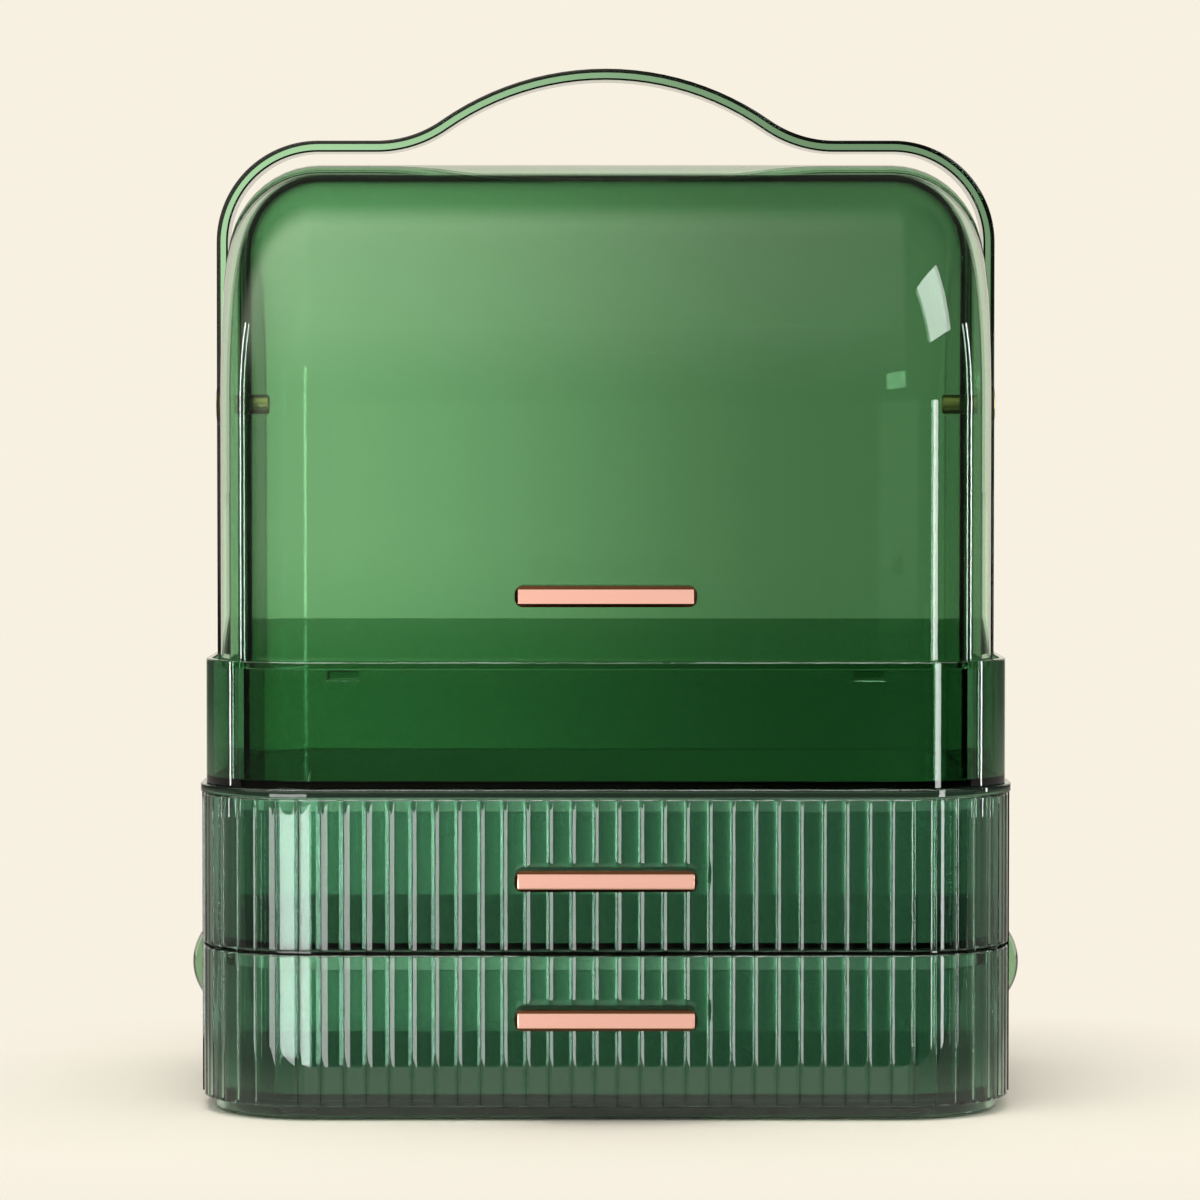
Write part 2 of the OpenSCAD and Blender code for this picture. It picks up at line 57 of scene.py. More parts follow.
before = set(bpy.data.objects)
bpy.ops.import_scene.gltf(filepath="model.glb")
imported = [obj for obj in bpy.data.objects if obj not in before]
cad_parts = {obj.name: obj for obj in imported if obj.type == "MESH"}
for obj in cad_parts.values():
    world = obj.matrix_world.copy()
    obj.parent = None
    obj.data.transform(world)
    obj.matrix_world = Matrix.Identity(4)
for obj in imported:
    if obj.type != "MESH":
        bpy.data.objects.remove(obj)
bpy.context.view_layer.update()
MM = 0.001

# Points of a mesh that lie this close are one point
NODE_WELD, SHELL_WELD = 0.002 * MM, 0.01 * MM
# Faces of a CAD node that lie within this angle are one flat face
FLAT_ANGLE = math.radians(0.3)
# Rounding of a drawer front's lips, top and bottom
FRONT_LIP = 0.45 * MM
# Where one reed is cut, from a groove at -1 over the crest at 0, and the groove's share of it
REED_CUTS = (-1.0, -0.97, -0.94, -0.9, -0.6, -0.3, 0.0, 0.3, 0.6, 0.9, 0.94, 0.97)
GROOVE_SHARE = 0.1

# Clear acrylic's index of refraction
ACRYLIC_IOR = 1.49

# Half the floor's width, how far inside the organizer's box its shadow starts, how far from
# there it reaches, and where the board ends in front when it is mirrored in the plastic
FLOOR_HALF, SHADOW_START, SHADOW_REACH, BOARD_FRONT = 12.0, 0.01, 0.14, -0.225
# How bright the backdrop looks through the plastic at its left and right, and where these lie
LIT_SIDE, SHADED_SIDE = 1.55, 0.7
LIT_PLACE, SHADED_PLACE = -0.065, 0.045
# Half the width and height of the backdrop's sheet, as directions
SHEET_HALF = (0.7, 0.54)
# Light from all round: daylight, a little warm, as linear red, green and blue
FILL_COLOUR = (1.0, 0.985, 0.96, 1.0)
# Width of the camera's sensor, in millimetres
SENSOR_WIDTH = 36.0


def linear_rgb(code):
    """Turns an sRGB hex code such as "#6E9C70" into linear red, green and blue."""
    channels = [int(code[i:i + 2], 16) / 255 for i in (1, 3, 5)]
    return tuple(c / 12.92 if c <= 0.04045 else ((c + 0.055) / 1.055) ** 2.4 for c in channels)


# ---- settings that a user would change ----

class OrganizerColours(bpy.types.PropertyGroup):
    """Colours of the organizer's materials and of the studio"""

    hood_tint: bpy.props.FloatVectorProperty(
        name="Hood tint", description="What the fixed rear hood's wall lets through",
        subtype="COLOR", size=3, min=0, max=1, default=linear_rgb("#8AB893"))
    lid_tint: bpy.props.FloatVectorProperty(
        name="Lid tint", description="What the flip-up lid's wall lets through",
        subtype="COLOR", size=3, min=0, max=1, default=linear_rgb("#C2E2C8"))
    tray_tint: bpy.props.FloatVectorProperty(
        name="Tray tint", description="What one wall of the display tray lets through",
        subtype="COLOR", size=3, min=0, max=1, default=linear_rgb("#96C2A5"))
    drawer_tint: bpy.props.FloatVectorProperty(
        name="Drawer tint", description="What one wall of the drawers and housing lets through",
        subtype="COLOR", size=3, min=0, max=1, default=linear_rgb("#B6D3C6"))
    strap_tint: bpy.props.FloatVectorProperty(
        name="Strap tint", description="What the carrying strap lets through",
        subtype="COLOR", size=3, min=0, max=1, default=linear_rgb("#B4D8BA"))
    rose_gold: bpy.props.FloatVectorProperty(
        name="Rose gold", description="Colour of the anodised pulls",
        subtype="COLOR", size=3, min=0, max=1, default=linear_rgb("#ECB5A2"))
    brass: bpy.props.FloatVectorProperty(
        name="Brass", description="Colour of the aged hinge pins",
        subtype="COLOR", size=3, min=0, max=1, default=linear_rgb("#DCC283"))
    studio: bpy.props.FloatVectorProperty(
        name="Studio cream", description="Colour of the floor and of the background",
        subtype="COLOR", size=3, min=0, max=1, default=linear_rgb("#F8F1E2"))


class OrganizerSizes(bpy.types.PropertyGroup):
    """Sizes that the CAD boxes don't give"""

    lid_wall: bpy.props.FloatProperty(
        name="Lid wall", description="Thickness of the flip-up lid", default=3.0 * MM,
        unit="LENGTH")
    hood_wall: bpy.props.FloatProperty(
        name="Hood wall", description="Thickness of the fixed rear hood", default=2.4 * MM,
        unit="LENGTH")
    lid_corner: bpy.props.FloatProperty(
        name="Lid corner", description="Outer radius of the lid's rounded shoulders",
        default=32 * MM, unit="LENGTH")
    lid_lap: bpy.props.FloatProperty(
        name="Lid lap", description="How far the lid reaches behind the hinge pins",
        default=4 * MM, unit="LENGTH")
    hood_lap: bpy.props.FloatProperty(
        name="Hood lap", description="How far the rear hood reaches forward of the hinge pins",
        default=12 * MM, unit="LENGTH")
    front_corner: bpy.props.FloatProperty(
        name="Drawer corner", description="Plan radius of the drawer fronts' corners",
        default=40 * MM, unit="LENGTH")
    front_wall: bpy.props.FloatProperty(
        name="Drawer front wall",
        description="From a drawer front's inner face to its reeds' crests",
        default=3 * MM, unit="LENGTH")
    reeds: bpy.props.IntProperty(
        name="Reeds", description="How many reeds run round a drawer front", default=43, min=3)
    reed_depth: bpy.props.FloatProperty(
        name="Reed depth", description="How far a reed's sides fall below its crest",
        default=0.17 * MM, unit="LENGTH")
    groove_depth: bpy.props.FloatProperty(
        name="Groove depth", description="Depth of the fine groove between two reeds",
        default=0.5 * MM, unit="LENGTH")
    edge: bpy.props.FloatProperty(
        name="Edge radius", description="Rounding that polishing leaves on moulded edges",
        default=0.45 * MM, unit="LENGTH")
    hood_edge: bpy.props.FloatProperty(
        name="Hood edge", description="Rounding of the lid's and the hood's rims",
        default=0.5 * MM, unit="LENGTH")
    strap_edge: bpy.props.FloatProperty(
        name="Strap edge", description="Width of the strap's polished edges",
        default=0.65 * MM, unit="LENGTH")
    pull_edge: bpy.props.FloatProperty(
        name="Pull edge", description="Rounding of the bar pulls' edges",
        default=1.9 * MM, unit="LENGTH")


class StudioSettings(bpy.types.PropertyGroup):
    """The camera's place and the lamps"""

    camera_distance: bpy.props.FloatProperty(
        name="Camera distance", description="From the lens to the face of the drawers",
        default=1.64, min=0.5, unit="LENGTH")
    camera_height: bpy.props.FloatProperty(
        name="Camera height", description="Above the floor", default=0.234, min=0, unit="LENGTH")
    camera_side: bpy.props.FloatProperty(
        name="Camera offset", description="How far the camera stands to the right of the middle",
        default=-0.002, unit="LENGTH")
    lens: bpy.props.FloatProperty(
        name="Focal length", description="On a 36 mm sensor", default=146.0, min=20, unit="CAMERA")
    tilt: bpy.props.FloatProperty(
        name="Tilt", description="How far the camera looks down", default=math.radians(2.0),
        subtype="ANGLE")
    room: bpy.props.FloatProperty(
        name="Room", description="How bright the room in front of the organizer mirrors in it",
        default=0.06, min=0)
    fill: bpy.props.FloatProperty(
        name="Fill", description="Strength of the even light from all round", default=0.83, min=0)
    softbox: bpy.props.FloatProperty(
        name="Softbox", description="How bright the large lamp above the front is", default=4.5,
        min=0)
    card: bpy.props.FloatProperty(
        name="Card", description="How bright the white card before the metal looks", default=0.98,
        min=0)
    strip: bpy.props.FloatProperty(
        name="Side lamps", description="How bright the faces of the lamps at the sides look",
        default=12.0, min=0)


# ---- materials ----

def add_node(tree, kind, settings=None, **links):
    """Adds one shader node with its settings and links, and returns it.

    Settings are properties and sockets by name, sockets by number, and a colour ramp's "stops":
    places from 0 to 1 with their linear colours. Links name a socket with _ for a space, or
    give its number after a _.
    """
    node = tree.nodes.new(kind)
    for key, value in (settings or {}).items():
        if key == "stops":
            elements = node.color_ramp.elements
            while len(elements) < len(value):
                elements.new(0.5)
            for element, (place, colour) in zip(elements, value):
                element.position = place
                element.color = (*colour, 1.0)
        elif isinstance(key, int) or key in node.inputs:
            node.inputs[key].default_value = value
        else:
            setattr(node, key, value)
    for key, output in links.items():
        socket = int(key[1:]) if key.startswith("_") else key.replace("_", " ")
        tree.links.new(output, node.inputs[socket])
    return node


def new_material(name):
    """An empty material and its node tree."""
    material = bpy.data.materials.new(name)
    material.use_nodes = True
    material.node_tree.nodes.clear()
    return material, material.node_tree


def moulded_acrylic(name, tint, depth_colour, density, painted_edge_shade=(), clarity=1.0):
    """Injection-moulded acrylic: clear, glossy, and greener the deeper the eye looks into it.

    The density is per metre of plastic. The painted edge shade's stops run from 0, where the wall
    faces the eye, to 1, where it turns away: they paint the wall's thin dark line seen edge on,
    as painted shade in the base colour.
    """
    material, tree = new_material(name)
    surface = add_node(tree, "ShaderNodeBsdfPrincipled", {
        "Base Color": (*tint, 1.0), "Transmission Weight": clarity, "IOR": ACRYLIC_IOR,
        "Roughness": 0.0})
    # Painted shade: the base colour darkens towards the wall's edge as it turns away from the eye
    if painted_edge_shade:
        facing = add_node(tree, "ShaderNodeLayerWeight")
        shade = add_node(tree, "ShaderNodeValToRGB", {"stops": [(0.0, tint), *painted_edge_shade]},
                         Fac=facing.outputs["Facing"])
        tree.links.new(shade.outputs["Color"], surface.inputs["Base Color"])
    depth = add_node(tree, "ShaderNodeVolumeAbsorption", {
        "Color": (*depth_colour, 1.0), "Density": density})
    add_node(tree, "ShaderNodeOutputMaterial", Surface=surface.outputs["BSDF"],
             Volume=depth.outputs["Volume"])
    return material


def anodised_aluminium(name, colour):
    """Brushed, then dyed and sealed: a rosy face. Where the bar rounds away, a painted pale
    highlight and then a painted dark brown reflection stand in for what its edges mirror.
    """
    material, tree = new_material(name)
    painted_reflection_dark, painted_highlight_rose = linear_rgb("#5A3A26"), linear_rgb("#FFD2BC")
    shape = add_node(tree, "ShaderNodeTexCoord")
    axes = add_node(tree, "ShaderNodeSeparateXYZ", Vector=shape.outputs["Normal"])
    # 1 on the bar's flat face and 0 on its top, bottom and ends
    frontal = add_node(tree, "ShaderNodeMath", {"operation": "ABSOLUTE"}, _0=axes.outputs["Y"])
    # Painted reflection and highlight: the top, bottom and ends go dark brown for the dark room
    # they mirror, with a pale painted highlight between them and the rose face
    painted_reflections = add_node(tree, "ShaderNodeValToRGB", {"stops": [
        (0.0, painted_reflection_dark), (0.84, painted_reflection_dark), (0.92, painted_highlight_rose), (0.985, colour)]},
        Fac=frontal.outputs["Value"])
    surface = add_node(tree, "ShaderNodeBsdfPrincipled", {"Metallic": 1.0, "Roughness": 0.2},
                       Base_Color=painted_reflections.outputs["Color"])
    add_node(tree, "ShaderNodeOutputMaterial", Surface=surface.outputs["BSDF"])
    return material


def plain_finish(name, colour, metallic, roughness):
    """One even colour and gloss all over, for the pins, washers, fasteners and pads."""
    material, tree = new_material(name)
    surface = add_node(tree, "ShaderNodeBsdfPrincipled", {
        "Base Color": (*colour, 1.0), "Metallic": metallic, "Roughness": roughness})
    add_node(tree, "ShaderNodeOutputMaterial", Surface=surface.outputs["BSDF"])
    return material


HOUSING_NODES = ["base_floor", "base_shell", "middle_shelf", "upper_drawer_front",
                 "lower_drawer_front", "upper_drawer_bin", "lower_drawer_bin"]
STRAP_NODES = ["carry_strap"]
CAP_NODES = ["anchor_cap_left", "anchor_cap_right"]
PULL_NODES = ["upper_drawer_pull", "lower_drawer_pull", "lid_pull"]
PIN_NODES = ["hinge_pin_left", "hinge_pin_right"]
WASHER_NODES = ["pivot_washer_left", "pivot_washer_right"]
STEEL_NODES = ["anchor_nut_left", "anchor_nut_right", "upper_pull_screws", "lower_pull_screws",
               "lid_pull_screws"]


def finish_nodes(nodes, material):
    """Puts one material on several CAD nodes."""
    for name in nodes:
        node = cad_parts[name]
        node.data.materials.clear()
        node.data.materials.append(material)


class OBJECT_OT_organizer_finishes(bpy.types.Operator):
    """Makes the organizer's materials and puts them on its CAD nodes"""

    bl_idname = "object.organizer_finishes"
    bl_label = "Finishes"

    def execute(self, context):
        colours = context.scene.organizer_colours
        deep_green, painted_rim_shade = linear_rgb("#3CAE6E"), linear_rgb("#16301F")
        painted_outline_dark, cap = linear_rgb("#07120B"), linear_rgb("#9ECB98")
        # Name, nodes, tint, density per metre, clarity
        for name, nodes, tint, density, clarity in (
                ("clear_acrylic_lid", ["front_lid"], colours.lid_tint, 12, 1.0),
                ("clear_acrylic_hood", ["rear_hood"], colours.hood_tint, 150, 1.0),
                ("clear_acrylic_tray", ["display_tray"], colours.tray_tint, 65, 1.0),
                ("clear_acrylic_deck", ["top_deck"], colours.drawer_tint, 9, 0.98),
                ("clear_acrylic_housing", HOUSING_NODES, colours.drawer_tint, 34, 1.0),
                ("clear_acrylic_strap", STRAP_NODES, colours.strap_tint, 35, 1.0)):
            # Painted shade: each clear piece darkens to a deep green line where it is seen edge on
            painted_edge_shade = [(0.75, tuple(tint)), (0.97, painted_rim_shade)]
            finish_nodes(nodes, moulded_acrylic(name, tuple(tint), deep_green, density, painted_edge_shade,
                                                clarity))
        # The caps are milky, with a painted dark line round them where they turn away from the eye
        finish_nodes(CAP_NODES, moulded_acrylic(
            "clear_acrylic_caps", cap, deep_green, 35, [(0.68, cap), (0.8, painted_outline_dark)], 0.3))
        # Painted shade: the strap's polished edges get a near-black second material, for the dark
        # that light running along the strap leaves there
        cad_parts["carry_strap"].data.materials.append(moulded_acrylic(
            "strap_edge_painted_shade", painted_outline_dark, deep_green, 35))
        finish_nodes(PULL_NODES, anodised_aluminium("anodised_rose_gold", colours.rose_gold))
        # Turned brass that has dulled is satin and slightly brown
        finish_nodes(PIN_NODES, plain_finish("aged_brass", colours.brass, 1.0, 0.3))
        # Moulded nylon is off-white with a soft sheen
        finish_nodes(WASHER_NODES, plain_finish("moulded_nylon", linear_rgb("#DDDDCC"), 0.0, 0.4))
        # Zinc plating is pale grey and fairly bright
        finish_nodes(STEEL_NODES, plain_finish(
            "zinc_plated_steel", linear_rgb("#B8B8B4"), 1.0, 0.3))
        # Moulded rubber is near black and matte
        finish_nodes(["base_pads"], plain_finish(
            "moulded_rubber", linear_rgb("#2A2C2C"), 0.0, 0.8))
        return {"FINISHED"}


# ---- softened CAD nodes ----

def round_edges(piece, width, segments, sharp_angle):
    """Rounds the edges that are sharper than an angle in degrees, and returns the modifier."""
    bevel = piece.modifiers.new("edge_radius", "BEVEL")
    bevel.width = width
    bevel.segments = segments
    bevel.limit_method = "ANGLE"
    bevel.angle_limit = math.radians(sharp_angle)
    shade = piece.modifiers.new("even_shading", "WEIGHTED_NORMAL")
    shade.keep_sharp = False
    return bevel


def soften(name, width, segments=2, sharp_angle=30):
    """Rounds a CAD node's sharp edges, so that they catch the light as moulded ones do."""
    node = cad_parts[name]
    node.data.shade_smooth()
    weld = node.modifiers.new("weld", "WELD")
    weld.merge_threshold = NODE_WELD
    flat = node.modifiers.new("flat_faces", "DECIMATE")
    flat.decimate_type = "DISSOLVE"
    flat.angle_limit = FLAT_ANGLE
    return round_edges(node, width, segments, sharp_angle)


class OBJECT_OT_organizer_edges(bpy.types.Operator):
    """Rounds the edges of the housing, tray, drawers, strap and pulls"""

    bl_idname = "object.organizer_edges"
    bl_label = "Moulded Edges"

    def execute(self, context):
        sizes = context.scene.organizer_sizes
        for name in ("base_floor", "base_shell", "middle_shelf", "top_deck", "display_tray",
                     "upper_drawer_bin", "lower_drawer_bin", *CAP_NODES):
            soften(name, sizes.edge)
        polished = soften("carry_strap", sizes.strap_edge, segments=3)
        polished.use_clamp_overlap = False
        # The bevel's faces take that near-black second material, the painted shade of the edges
        polished.material = 1
        for name in PULL_NODES:
            soften(name, sizes.pull_edge, segments=6, sharp_angle=25)
        return {"FINISHED"}


def new_piece(name, mesh, material):
    """Turns a finished bmesh into a smooth piece of the scene."""
    bmesh.ops.recalc_face_normals(mesh, faces=mesh.faces)
    data = bpy.data.meshes.new(name)
    mesh.to_mesh(data)
    mesh.free()
    data.shade_smooth()
    data.materials.append(material)
    piece = bpy.data.objects.new(name, data)
    bpy.context.scene.collection.objects.link(piece)
    return piece


# ---- fluted drawer fronts ----

def front_outline(half, front, back, corner, along):
    """Point and outward direction at a distance along the front's plan, from its left end."""
    tail = back - (front + corner)
    bend = corner * math.pi / 2
    face = 2 * (half - corner)
    total = 2 * tail + 2 * bend + face
    mirrored = along > total / 2
    walked = total - along if mirrored else along
    if walked < tail:
        point, out = (-half, back - walked), (-1.0, 0.0)
    elif walked < tail + bend:
        turn = (walked - tail) / corner
        out = (-math.cos(turn), -math.sin(turn))
        point = (-(half - corner) + corner * out[0], front + corner + corner * out[1])
    else:
        point, out = (walked - tail - bend - (half - corner), front), (0.0, -1.0)
    if mirrored:
        point, out = (-point[0], point[1]), (-out[0], out[1])
    return Vector(point), Vector(out)


def fluted_front(name, node, sizes):
    """A drawer front of convex reeds, with rounded lips along its top and bottom."""
    low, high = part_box(node)
    half, corner = (high.x - low.x) / 2, sizes.front_corner
    total = 2 * (high.y - low.y - corner) + corner * math.pi + 2 * (half - corner)
    pitch = total / sizes.reeds
    # Across one reed: the share of the pitch from its crest, and how far the surface falls
    profile = [(0.5 * x, sizes.reed_depth * x * x + sizes.groove_depth
                * (max(0.0, abs(x) - (1 - GROOVE_SHARE)) / GROOVE_SHARE) ** 2)
               for x in REED_CUTS]
    stations = [((reed + 0.5 + x) * pitch, drop) for reed in range(sizes.reeds)
                for x, drop in profile]
    stations.append((total, profile[0][1]))
    # Depth and height of each ring of points, from the bottom lip to the top one
    lip = [(FRONT_LIP, 0), (FRONT_LIP * 0.3, FRONT_LIP * 0.3), (0, FRONT_LIP),
           (0, FRONT_LIP * 1.6)]
    rings = [(inset, low.z + up) for inset, up in lip] + [
        (inset, high.z - up) for inset, up in reversed(lip)]

    mesh = bmesh.new()
    outer, inner = [], []
    for inset, z in rings:
        outer_ring, inner_ring = [], []
        for along, drop in stations:
            place, out = front_outline(half, low.y, high.y, corner, along)
            crest = place - out * (drop + inset)
            back = place - out * (sizes.front_wall - inset)
            outer_ring.append(mesh.verts.new((crest.x, crest.y, z)))
            inner_ring.append(mesh.verts.new((back.x, back.y, z)))
        outer.append(outer_ring)
        inner.append(inner_ring)
    count = len(stations) - 1
    for a in range(len(rings) - 1):
        for i in range(count):
            mesh.faces.new((outer[a][i], outer[a][i + 1], outer[a + 1][i + 1], outer[a + 1][i]))
            mesh.faces.new((inner[a][i + 1], inner[a][i], inner[a + 1][i], inner[a + 1][i + 1]))
        for i in (0, -1):
            mesh.faces.new((outer[a][i], outer[a + 1][i], inner[a + 1][i], inner[a][i]))
    for ring in (0, -1):
        for i in range(count):
            mesh.faces.new((outer[ring][i], outer[ring][i + 1], inner[ring][i + 1],
                            inner[ring][i]))
    return new_piece(name, mesh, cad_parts[node].data.materials[0])


class OBJECT_OT_organizer_drawer_fronts(bpy.types.Operator):
    """Makes the two wrap-round fluted drawer fronts"""

    bl_idname = "object.organizer_drawer_fronts"
    bl_label = "Fluted Drawer Fronts"

    def execute(self, context):
        sizes = context.scene.organizer_sizes
        for name, node, body in (("upper_reeds", "upper_drawer_front", "upper_drawer"),
                                 ("lower_reeds", "lower_drawer_front", "lower_drawer")):
            piece = fluted_front(name, node, sizes)
            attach(piece, body)
            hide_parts(node)
        return {"FINISHED"}


# ---- arched hood ----

def pin_place():
    """Where the hinge pins' axis crosses the middle of the organizer."""
    low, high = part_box("hinge_pin_right")
    return Vector((0, (low.y + high.y) / 2, (low.z + high.z) / 2))


def shell_grid(half, radius, corner, base_z, lap):
    """Rows of points over one face of an arched half shell that opens towards -Y.

    The rows climb from the base over the arch about the pins (Y and Z zero) to the rim at -lap;
    the columns go from the rim on the left over the shoulder to the rim on the right.
    """
    straight_steps, arc_steps, corner_steps, flat_steps = 20, 44, 12, 10
    columns = []
    for i in range(corner_steps, -1, -1):
        turn = math.pi / 2 * i / corner_steps
        columns.append((-(half - corner) - corner * math.sin(turn), corner * (1 - math.cos(turn))))
    columns += [((half - corner) * (2 * i / flat_steps - 1), 0.0) for i in range(1, flat_steps)]
    columns += [(-x, inset) for x, inset in reversed(columns[:corner_steps + 1])]

    def climb(reach):
        points = [(reach, base_z * (1 - i / straight_steps)) for i in range(straight_steps)]
        end = math.acos(-lap / reach)
        points += [(reach * math.cos(end * i / arc_steps), reach * math.sin(end * i / arc_steps))
                   for i in range(arc_steps + 1)]
        return points

    side = climb(radius - corner)
    top = side[-1][1]
    rim = [(-lap, z) for _, z in side[:straight_steps]]
    rim += [(-lap, top * math.sin(math.pi / 2 * i / arc_steps)) for i in range(arc_steps + 1)]
    lines = [[(-half, y, z) for y, z in rim]]
    lines += [[(x, y, z) for y, z in climb(radius - inset)] for x, inset in columns]
    lines.append([(half, y, z) for y, z in rim])
    return lines


def arched_shell(name, half, radius, corner, wall, base_z, lap, front, material):
    """One clear half of the hood: an outer and an inner face, joined round the rim."""
    mesh = bmesh.new()
    faces = []
    for inset in (0.0, wall):
        lines = shell_grid(half - inset, radius - inset, corner - inset, base_z, lap)
        faces.append([[mesh.verts.new(p) for p in line] for line in lines])
    outer, inner = faces
    across, up = len(outer), len(outer[0])
    for a in range(across - 1):
        for b in range(up - 1):
            mesh.faces.new((outer[a][b], outer[a + 1][b], outer[a + 1][b + 1], outer[a][b + 1]))
            mesh.faces.new((inner[a][b + 1], inner[a + 1][b + 1], inner[a + 1][b], inner[a][b]))
    for a in range(across - 1):
        mesh.faces.new((outer[a + 1][0], outer[a][0], inner[a][0], inner[a + 1][0]))
        mesh.faces.new((outer[a][-1], outer[a + 1][-1], inner[a + 1][-1], inner[a][-1]))
    for b in range(up - 1):
        mesh.faces.new((outer[0][b], outer[0][b + 1], inner[0][b + 1], inner[0][b]))
        mesh.faces.new((outer[-1][b + 1], outer[-1][b], inner[-1][b], inner[-1][b + 1]))
    if front:
        bmesh.ops.scale(mesh, vec=(1, -1, 1), verts=mesh.verts)
    bmesh.ops.remove_doubles(mesh, verts=mesh.verts, dist=SHELL_WELD)
    piece = new_piece(name, mesh, material)
    piece.location = pin_place()
    return piece


class OBJECT_OT_organizer_hood(bpy.types.Operator):
    """Makes the flip-up lid and the fixed rear hood as smooth arched shells"""

    bl_idname = "object.organizer_hood"
    bl_label = "Arched Hood"

    def execute(self, context):
        sizes = context.scene.organizer_sizes
        pins = pin_place()
        for name, node, body, wall, lap, front in (
                ("lid_shell", "front_lid", "lid", sizes.lid_wall, sizes.lid_lap, True),
                ("rear_shell", "rear_hood", "body", sizes.hood_wall, sizes.hood_lap, False)):
            low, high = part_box(node)
            half = (high.x - low.x) / 2
            radius = high.z - pins.z
            corner = sizes.lid_corner - (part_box("front_lid")[1].x - half)
            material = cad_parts[node].data.materials[0]
            piece = arched_shell(name, half, radius, corner, wall, low.z - pins.z, lap, front,
                                 material)
            round_edges(piece, sizes.hood_edge, 2, 40)
            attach(piece, body)
            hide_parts(node)
        return {"FINISHED"}


# ---- studio ----

def level_by_ray(tree, ray, sideways, sign, mirror_level):
    """How bright the cream shows: plain to the eye, graded through plastic, and in mirrors.

    Through the plastic it falls off from left to right, along `sideways` times `sign`. Returns
    the brightness, and 1 for a mirrored ray or 0 for any other.
    """
    graded = add_node(tree, "ShaderNodeMapRange", {
        "From Min": sign * LIT_PLACE, "From Max": sign * SHADED_PLACE, "To Min": LIT_SIDE,
        "To Max": SHADED_SIDE, "interpolation_type": "SMOOTHSTEP"}, Value=sideways)
    through = add_node(tree, "ShaderNodeMix", {"data_type": "FLOAT", 2: 1.0},
                       _0=ray.outputs["Is Transmission Ray"], _3=graded.outputs["Result"])
    mirrored = add_node(tree, "ShaderNodeMath", {"operation": "GREATER_THAN", 1: 0.5},
                        _0=ray.outputs["Glossy Depth"])
    level = add_node(tree, "ShaderNodeMix", {"data_type": "FLOAT"},
                     _0=mirrored.outputs["Value"], _2=through.outputs[0], _3=mirror_level)
    return level.outputs[0], mirrored.outputs["Value"]


def painted_board(cream):
    """Painted board: diffuse close by, where the shadow falls, and plain cream further off.

    Its brightness in the plastic goes by the ray's direction, so it shifts with the view.
    """
    low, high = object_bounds()
    foot = ((high.x - low.x) / 2 - SHADOW_START, (high.y - low.y) / 2 - SHADOW_START, 0)
    material, tree = new_material("painted_board")
    place = add_node(tree, "ShaderNodeNewGeometry")
    ray = add_node(tree, "ShaderNodeLightPath")
    # How far a point lies outside the organizer's foot
    folded = add_node(tree, "ShaderNodeVectorMath", {"operation": "ABSOLUTE"},
                      _0=place.outputs["Position"])
    beyond = add_node(tree, "ShaderNodeVectorMath", {"operation": "SUBTRACT", 1: foot},
                      _0=folded.outputs["Vector"])
    outside = add_node(tree, "ShaderNodeVectorMath", {"operation": "MAXIMUM"},
                       _0=beyond.outputs["Vector"])
    offset = add_node(tree, "ShaderNodeVectorMath", {"operation": "LENGTH"},
                      _0=outside.outputs["Vector"])
    fade = add_node(tree, "ShaderNodeMapRange", {"From Min": 0.0, "From Max": SHADOW_REACH},
                    Value=offset.outputs["Value"])
    # The part that mirrors: wide at eye level, narrow and then soft further down. X and Z are
    # how far the ray leans aside and down, and the limit is how far aside the board is bright
    aim = add_node(tree, "ShaderNodeSeparateXYZ", Vector=place.outputs["Incoming"])
    aside = add_node(tree, "ShaderNodeMath", {"operation": "ABSOLUTE"}, _0=aim.outputs["X"])
    limit = add_node(tree, "ShaderNodeMapRange", {
        "From Min": 0.047, "From Max": 0.038, "To Min": 0.3, "To Max": 0.7},
        Value=aim.outputs["Z"])
    past = add_node(tree, "ShaderNodeMath", {"operation": "SUBTRACT"},
                    _0=aside.outputs["Value"], _1=limit.outputs["Result"])
    within = add_node(tree, "ShaderNodeMapRange", {
        "From Min": 0.05, "From Max": -0.05, "interpolation_type": "SMOOTHSTEP"},
        Value=past.outputs["Value"])
    dusk = add_node(tree, "ShaderNodeMapRange", {
        "From Min": 0.055, "From Max": 0.08, "To Min": 0.06, "To Max": 0.35},
        Value=aim.outputs["Z"])
    mirror = add_node(tree, "ShaderNodeMath", {"operation": "MAXIMUM"},
                      _0=within.outputs["Result"], _1=dusk.outputs["Result"])
    glow, mirrored = level_by_ray(tree, ray, aim.outputs["X"], -1, mirror.outputs["Value"])
    paint = add_node(tree, "ShaderNodeBsdfDiffuse", {"Color": (*cream, 1.0)})
    plain = add_node(tree, "ShaderNodeEmission", {"Color": (*cream, 1.0)}, Strength=glow)
    board = add_node(tree, "ShaderNodeMixShader", Fac=fade.outputs["Result"],
                     _1=paint.outputs["BSDF"], _2=plain.outputs["Emission"])
    # Beyond the board's front edge only the room and its lamps mirror in the plastic
    axes = add_node(tree, "ShaderNodeSeparateXYZ", Vector=place.outputs["Position"])
    off_board = add_node(tree, "ShaderNodeMath", {"operation": "LESS_THAN", 1: BOARD_FRONT},
                         _0=axes.outputs["Y"])
    gone = add_node(tree, "ShaderNodeMath", {"operation": "MULTIPLY"},
                    _0=off_board.outputs["Value"], _1=mirrored)
    clear = add_node(tree, "ShaderNodeBsdfTransparent")
    ended = add_node(tree, "ShaderNodeMixShader", Fac=gone.outputs["Value"],
                     _1=board.outputs["Shader"], _2=clear.outputs["BSDF"])
    add_node(tree, "ShaderNodeOutputMaterial", Surface=ended.outputs["Shader"])
    return material


